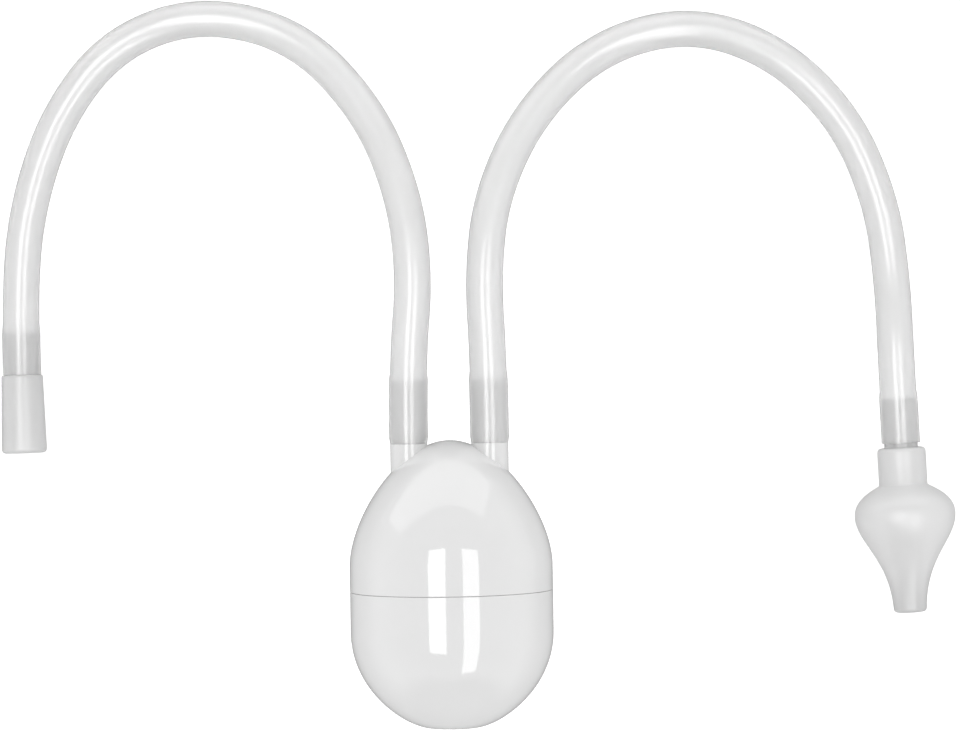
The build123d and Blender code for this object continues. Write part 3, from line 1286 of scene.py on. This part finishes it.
@dataclass
class Studio:
    """A white cove under strip lamps, a window and a soft sky, seen from straight above.

    Attributes:
        below, above: The sky's level under the horizon, and what it gains above it.
        horizon: Heights between which it gains that.
        doorway_depth: The share of light that the dark doorway takes.
        doorway_side: Places along Y between which the doorway begins.
        doorway_top: Heights between which it ends.
    """

    camera_xy: Point = (0.00608, 0.03557)
    camera_height: float = 0.660
    camera_roll: float = 0.93
    lens: float = 126.6
    film_width: float = 36.0
    nearest: float = 0.01
    strips: tuple[StripLight, ...] = (
        StripLight("left_strip", lean=(-25.0, -6.0), reach=(-23.0, 24.0), radiance=5.1),
        StripLight("right_strip", lean=(13.0, 31.0), reach=(-48.0, 24.0), radiance=4.3),
    )
    strip_height: float = 1.0
    window_size: Point = (3.6, 1.25)
    window_place: Place = (-0.6, 1.5, 0.33)
    window_radiance: float = 1.1
    cove_radius: float = 3.0
    cove_rise: float = 2.0
    cove_facets: int = 64
    paper: float = 0.5
    paper_glow: float = 0.75
    below: float = 0.15
    above: float = 0.90
    horizon: Point = (-0.5, 0.1)
    doorway_depth: float = 0.95
    doorway_side: Point = (-0.70, -0.88)
    doorway_top: Point = (0.70, 0.42)

    def camera(self) -> None:
        """Hang the camera over the table, turned by its small roll."""
        data = bpy.data.cameras.new("overhead_camera")
        data.lens = self.lens
        data.sensor_width = self.film_width
        data.clip_start = self.nearest
        camera = bpy.data.objects.new("overhead_camera", data)
        camera.location = (*self.camera_xy, self.camera_height)
        camera.rotation_euler = (0.0, 0.0, -math.radians(self.camera_roll))
        bpy.context.scene.collection.objects.link(camera)
        bpy.context.scene.camera = camera

    def white_paper(self) -> bpy.types.Material:
        """The cove's matt white, with a fine tooth and a glow that evens it out.

        Returns:
            The material.
        """
        recipe = Recipe("white_paper")
        tooth = recipe.noise(recipe.place(), 900.0, 2.0)
        body = recipe.node(
            "ShaderNodeBsdfPrincipled",
            inputs={
                "Base Color": (*grey(self.paper), 1.0),
                "Roughness": 0.85 + 0.05 * (tooth - 0.5),
                "Specular IOR Level": 0.0,
                "Emission Color": (1.0, 1.0, 1.0, 1.0),
                "Emission Strength": self.paper_glow,
            },
        )
        return recipe.finish(recipe.signal(body, "BSDF"))

    def cove(self) -> None:
        """Lay a white table that sweeps up into a white wall all round.

        Gloss doesn't see it, so that glossy edges mirror the darker room instead.
        """
        sweep = Outline((0.0, 0.0))
        sweep.line((self.cove_radius - self.cove_rise, 0.0))
        sweep.curve(
            (self.cove_radius - self.cove_rise / 3, 0.0),
            (self.cove_radius, self.cove_rise / 4),
            (self.cove_radius, self.cove_rise),
            12,
        )
        bowl = Lathe(Vector(), UP, ACROSS).turn(sweep, self.cove_facets, closed=False)
        floor = make_object("white_cove", bowl)
        floor.data.materials.append(self.white_paper())
        floor.visible_glossy = False

    def sky(self) -> None:
        """Surround the table with soft light: bright above the horizon, dim below it.

        A dark doorway stands in the room beyond the chamber's foot.
        """
        world = bpy.data.worlds.new("studio_room")
        world.use_nodes = True
        bench = Bench(world.node_tree)
        around = bench.signal(bench.node("ShaderNodeTexCoord"), "Generated")
        _, along, height = bench.split(around)
        bright = bench.smooth_step(height, *self.horizon)
        beside = bench.smooth_step(along, *self.doorway_side)
        doorway = beside * bench.smooth_step(height, *self.doorway_top)
        level = (self.below + self.above * bright) * (1 - self.doorway_depth * doorway)
        back = bench.node("ShaderNodeBackground", inputs={"Color": level})
        bench.node("ShaderNodeOutputWorld", inputs={"Surface": bench.signal(back, "Background")})
        bpy.context.scene.world = world

    def window(self) -> None:
        """Stand a large dim panel beyond the hoses, towards the mouth side."""
        panel = area_lamp("window_panel", self.window_size, self.window_radiance)
        panel.location = self.window_place
        panel.rotation_euler = (-math.radians(90.0), 0.0, 0.0)

    def build(self) -> None:
        """Set up the whole studio."""
        bpy.context.scene.view_settings.view_transform = "Standard"
        self.camera()
        self.cove()
        self.sky()
        self.window()
        for strip in self.strips:
            strip.hang(self.strip_height)


# --- the whole aspirator ----------------------------------------------------

MOUTH_ROUTE: Sequence[Place] = (
    (-0.0077, 0.0209, 0.01925),
    (-0.0077, 0.0366, 0.01925),
    (-0.0061, 0.0524, 0.0185),
    (-0.0079, 0.0684, 0.0154),
    (-0.0147, 0.0853, 0.0106),
    (-0.0285, 0.1003, 0.0058),
    (-0.0476, 0.1051, 0.00355),
    (-0.0642, 0.0993, 0.00360),
    (-0.0752, 0.0856, 0.00355),
    (-0.0813, 0.0684, 0.00360),
    (-0.0831, 0.0514, 0.00445),
    (-0.08285, 0.0351, 0.00445),
)

NOSE_ROUTE: Sequence[Place] = (
    (0.0077, 0.0209, 0.01925),
    (0.0077, 0.0366, 0.01925),
    (0.0069, 0.0524, 0.0185),
    (0.0088, 0.0682, 0.0154),
    (0.0167, 0.0844, 0.0106),
    (0.0303, 0.0971, 0.0058),
    (0.0480, 0.1016, 0.00355),
    (0.0647, 0.0958, 0.00360),
    (0.0778, 0.0826, 0.00355),
    (0.0846, 0.0662, 0.00360),
    (0.0864, 0.0504, 0.0047),
    (0.08625, 0.0352, 0.0097),
    (0.0869, 0.01935, 0.0097),
)


MOUTH_HOSE_LENGTH = 0.192
NOSE_HOSE_LENGTH = 0.204
# Length of the tip at its hose end that its painted shade does not reach.
TIP_FREE_OF_PAINTED_SHADE = 0.019


def main() -> None:
    """Build the studio, then the aspirator piece by piece."""
    logging.basicConfig(level=logging.INFO, format="%(name)s: %(message)s")
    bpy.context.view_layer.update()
    chamber_plastic = MilkyPlastic(
        "milky_polypropylene",
        pale=grey(0.77),
        deep=grey(0.74),
        see_through=0.12,
        skin_index=1.55,
        skin_roughness=0.06,
    ).material()
    fitting_plastic = MilkyPlastic(
        "milky_fitting",
        pale=grey(0.77),
        deep=grey(0.73),
        see_through=0.45,
        skin_index=1.6,
        skin_roughness=0.42,
    ).material()
    silicone = MattSilicone(
        "milky_silicone", pale=grey(0.75), deep=grey(0.71), see_through=0.12
    ).material()
    tip_low, tip_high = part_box("nasal_tip")
    # The tip's deep tone is a painted shade that darkens its outlet cone towards -Y.
    tip_silicone = MattSilicone(
        "tip_silicone",
        pale=grey(0.765),
        deep=grey(0.61),
        see_through=0.30,
        painted_shade_span=(tip_low.y, tip_high.y - TIP_FREE_OF_PAINTED_SHADE),
    ).material()
    tubing = ClearTubing(
        "clear_tubing", pale=grey(0.865), deep=grey(0.825), see_through=0.70
    ).material()
    Studio().build()
    mouthpiece = Mouthpiece(end_lathe(MOUTH_ROUTE), fitting_plastic).build()
    nasal_end = NasalEnd(end_lathe(NOSE_ROUTE), fitting_plastic, tip_silicone)
    adaptor, tip = nasal_end.adaptor(), nasal_end.tip()
    Hose(
        name="mouth_hose_tube",
        node="mouth_hose",
        body="mouth_line",
        route=MOUTH_ROUTE,
        length=MOUTH_HOSE_LENGTH,
        tubing=tubing,
        start_spigot=Chamber.spigot_length,
        end_spigot=Mouthpiece.spigot_length,
    ).build([mouthpiece])
    Hose(
        name="nose_hose_tube",
        node="nose_hose",
        body="nose_line",
        route=NOSE_ROUTE,
        length=NOSE_HOSE_LENGTH,
        tubing=tubing,
        start_spigot=Chamber.spigot_length,
        end_spigot=NasalEnd.spigot_length,
    ).build([adaptor, tip])
    Chamber(chamber_plastic, silicone).build()


if __name__ == "__main__":
    main()
